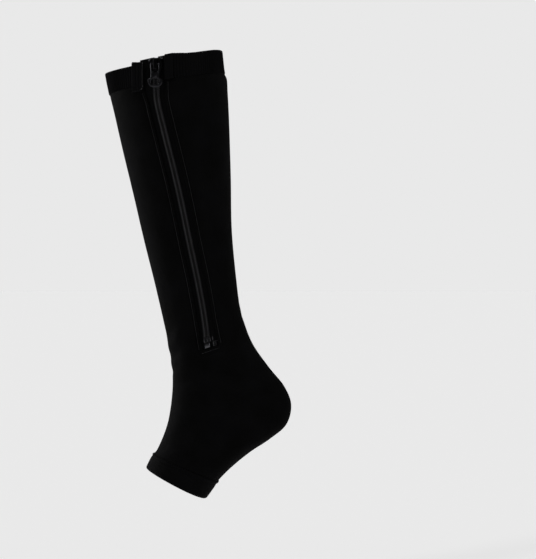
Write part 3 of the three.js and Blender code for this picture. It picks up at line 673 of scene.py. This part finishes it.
# The bail is a strip of metal that stands on the plate at both ends, with room for the pull's bar
bail_side = [
    (-5.1, 2.2), (-4.1, 2.2), (-4.1, 4.9), (-3.7, 5.35), (5.0, 5.35), (5.4, 4.9), (5.4, 2.2), (6.3, 2.2), (6.3, 5.4),
    (5.9, 6.2), (5.1, 6.6), (-3.9, 6.6), (-4.7, 6.2), (-5.1, 5.4),
]
lay_over = Matrix(((0, 0, 1, 0), (1, 0, 0, 0), (0, 1, 0, 0), (0, 0, 0, 1)))
add_plate(slider_bm, bail_side, -1.8, 1.8, 0.45, lay_over)
slider_bm.transform(MM @ slider_frame())
bmesh.ops.recalc_face_normals(slider_bm, faces=slider_bm.faces)
slider = finish_mesh("zip_slider_body", slider_bm, shade_darkened_zinc, smooth=False)
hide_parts("zip_slider")
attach(slider, "stocking")


def add_stop(name, node, first_down, last_down, front, rear, rise):
    """A small clamp across the coil, with round edges."""
    rows, columns = np.linspace(0, 1, 5), np.linspace(0, 1, 9)
    low = TAPE_OUTER_LIFT + GAP
    centre = zip_point((first_down + last_down) / 2, (front + rear) / 2, (low + rise) / 2)
    down_axis = zip_point(last_down, (front + rear) / 2, 0) - zip_point(first_down, (front + rear) / 2, 0)
    across_axis = zip_point((first_down + last_down) / 2, rear, 0) - zip_point((first_down + last_down) / 2, front, 0)
    out_axis = down_axis.normalized().cross(across_axis.normalized()).normalized() * (rise - low)
    frame_axes = Matrix((across_axis, down_axis, out_axis)).transposed().to_4x4()
    bm = bmesh.new()
    bmesh.ops.create_cube(bm, size=1)
    bmesh.ops.transform(bm, matrix=Matrix.Translation(centre) @ frame_axes, verts=bm.verts)
    bmesh.ops.bevel(bm, geom=bm.edges[:], offset=0.42, segments=3, profile=0.5, material=-1, affect="EDGES")
    bm.transform(MM)
    bmesh.ops.recalc_face_normals(bm, faces=bm.faces)
    piece = finish_mesh(name, bm, highlight_paled_zinc)
    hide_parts(node)
    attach(piece, "stocking")
    return piece


add_stop("zip_top_stop_front_clamp", "zip_top_stop_front", -0.4, 1.6, -7.1, -4.6, 1.2)
add_stop("zip_top_stop_rear_clamp", "zip_top_stop_rear", -0.4, 2.2, 4.6, 7.3, 1.2)
add_stop("zip_bottom_stop_clamp", "zip_bottom_stop", 283, 287.4, -2.7, 2.7, 1.6)

# The pull: a die-cast tab with a window, a solid neck and an oval ring, held by its top bar under
# the slider's bail. It swings on that bar and hangs plumb.
PULL_THICKNESS = 1.5
HINGE = Vector((0, 0.6, 4.2))
BAR_OUTER, BAR_INNER, WINDOW_LENGTH, NECK = 5.05, 3.15, 8.2, 13.6
NECK_OUTER, WINDOW_FOOT = 4.3, 2.7
RING_MIDDLE, RING_HALF_WIDTH, RING_HALF_HEIGHT = 17.4, 7.15, 6.0
HOLE_HALF_WIDTH, HOLE_HALF_HEIGHT = 4.2, 3.4
PULL_SOFTEN = 0.6


def oval(half_width, half_height, first, last, steps):
    return [
        (half_width * math.cos(a), -RING_MIDDLE + half_height * math.sin(a)) for a in np.linspace(first, last, steps)
    ]


half = PULL_THICKNESS / 2
shoulder_angle = 0.56
outline = [(-BAR_OUTER, half), (-NECK_OUTER, -NECK)]
outline += oval(RING_HALF_WIDTH, RING_HALF_HEIGHT, math.pi - shoulder_angle, 2 * math.pi + shoulder_angle, 40)
outline += [(NECK_OUTER, -NECK), (BAR_OUTER, half), (BAR_INNER, half), (WINDOW_FOOT, -WINDOW_LENGTH + 0.6)]
outline += [(WINDOW_FOOT - 0.6, -WINDOW_LENGTH), (0.6 - WINDOW_FOOT, -WINDOW_LENGTH), (-WINDOW_FOOT, -WINDOW_LENGTH + 0.6)]
outline += [(-BAR_INNER, half)]
flat = bpy.data.curves.new("pull_outline", "CURVE")
flat.dimensions = "2D"
flat.fill_mode = "BOTH"
flat.extrude = half - PULL_SOFTEN
flat.bevel_depth = PULL_SOFTEN
flat.bevel_resolution = 3
flat.offset = -PULL_SOFTEN
for line in (outline, oval(HOLE_HALF_WIDTH, HOLE_HALF_HEIGHT, 2 * math.pi, 0, 29)[:-1]):
    spline = flat.splines.new("POLY")
    spline.points.add(len(line) - 1)
    for point, place in zip(spline.points, line):
        point.co = (*place, 0, 1)
    spline.use_cyclic_u = True
pull_shape = bpy.data.objects.new("pull_outline", flat)
bpy.context.scene.collection.objects.link(pull_shape)
pull_mesh = bpy.data.meshes.new_from_object(pull_shape.evaluated_get(bpy.context.evaluated_depsgraph_get()))
bpy.data.objects.remove(pull_shape)
pull_bm = bmesh.new()
pull_bm.from_mesh(pull_mesh)
bpy.data.meshes.remove(pull_mesh)
bmesh.ops.remove_doubles(pull_bm, verts=pull_bm.verts, dist=1e-4)
bar_turn = Matrix.Rotation(math.pi / 2, 4, "Y")
bmesh.ops.create_cone(
    pull_bm, cap_ends=True, segments=16, radius1=half - 0.05, radius2=half - 0.05, depth=2 * BAR_OUTER - 0.8, matrix=bar_turn
)
slider_axes = slider_frame()
hinge_place = slider_axes @ HINGE
rearward = slider_axes.to_3x3().col[0].normalized()
out = rearward.cross(Vector((0, 0, 1))).normalized()
pull_axes = Matrix.Translation(hinge_place) @ Matrix((rearward, out.cross(rearward), out)).transposed().to_4x4()
pull_bm.transform(MM @ pull_axes)
bmesh.ops.recalc_face_normals(pull_bm, faces=pull_bm.faces)
pull = finish_mesh("zip_pull_tab", pull_bm, gunmetal)
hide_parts("zip_pull")
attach(pull, "pull")

# The sewing: black polyester thread. A row of lockstitches lies in the groove along each rolled
# edge and round the slot's end, and a bar tack of four threads closes the chain at the bottom.
THREAD = 0.42
STITCH_PITCH, STITCH_LENGTH = 2.6, 2.1
sewing_thread, tree, shader = new_material(
    "black_polyester_thread", "#2C2C2E", 0.45, Specular_IOR_Level=0.3, Sheen_Weight=0.02
)
spot = add(tree, "ShaderNodeTexCoord").outputs["Object"]
ply = add(tree, "ShaderNodeTexWave", {"Vector": spot, "Scale": 900.0, "Distortion": 1.0})
bump = add(tree, "ShaderNodeBump", {"Strength": 0.4, "Distance": 0.0001, "Height": ply.outputs[0]})
tree.links.new(bump.outputs[0], shader.inputs["Normal"])


def stitch(down, rearward, lift, down_run, across_run, steps=5):
    """The route of one stitch that dips into the cloth at both ends."""
    run = np.linspace(-0.5, 0.5, steps)
    dip = lift - 1.4 * np.abs(run) ** 2.5 * 2
    at = down + down_run * run
    return skin(at, beside_angle(at, rearward + across_run * run), dip)


routes = []
for side in (-1, 1):
    for at in np.arange(BAND_HEIGHT + 3, SLOT_END - 1, STITCH_PITCH):
        edge = np.interp(at, SLOT_DOWN, SLOT_FRONT if side < 0 else SLOT_REAR)
        if side < 0 and at < 31:
            continue
        routes.append(stitch(at, side * (edge + 2.9), 0.05, STITCH_LENGTH, 0))
for at in np.arange(-5, 11.1, STITCH_PITCH):
    routes.append(stitch(SLOT_END + 2.7, at, 0.0, 0, STITCH_LENGTH))
# a short satin tack behind the bottom stop
routes += [stitch(283.2 + 0.6 * k, 8.6, -1.1, 0.3, 4.6 - 0.3 * k) for k in range(9)]
topstitch = wire_mesh(routes, THREAD / 2, sewing_thread, "zip_topstitching", 0)
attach(topstitch, "stocking")

# Real stitches in a light grey that is painted highlight: it stands in for the glints along the coil's stitch rows, on
# the bar tack and on the fold of the welt's front end
painted_highlight_thread, tree, shader = new_material("grey_polyester_thread_painted_highlight", "#565659", 0.4, Specular_IOR_Level=0.4)

# Two rows of stitches hold each coil to its tape, and pass over it between its turns; their light grey is painted
# highlight for the glints along the chain
routes = []
for side, length in ((-1, 1.5), (1, 1.2)):
    for at in np.arange(14.5, COIL_END - 6, COIL_PITCH):
        routes.append(stitch(at, side * 1.75, COIL_HIGH + 0.25, length, 0.3 * side))
coil_stitches = wire_mesh(routes, 0.28, painted_highlight_thread, "zip_coil_stitching", 0)
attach(coil_stitches, "stocking")

routes = [stitch(280.2, at, 1.75, 3.4, 0.3, 7) for at in (-2.6, 0.4, 3.4)]
routes += [stitch(280.2, 6.2, -1.2, 3.2, 0.2, 7), stitch(285.2, 6.4, -0.9, 5.0, 0.1, 7)]
bar_tack = wire_mesh(routes, 0.3, painted_highlight_thread, "zip_bar_tack")
# A row of light grey stitches along the fold of the welt's front end, which turns forward at its lower corner: painted
# highlight for the fold's bright edge
routes = [stitch(at, -12.5, 3.2, 1.9, 0) for at in np.arange(3, 25, 2.1)]
routes += [stitch(26.7, -13.6, 2.2, 1.4, -1.7), stitch(28.0, -15.6, 1.7, 0.4, -1.9)]
fold_highlight_stitches = wire_mesh(routes, 0.22, painted_highlight_thread, "welt_fold_highlight_stitching", 0)
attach(fold_highlight_stitches, "stocking")
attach(bar_tack, "stocking")
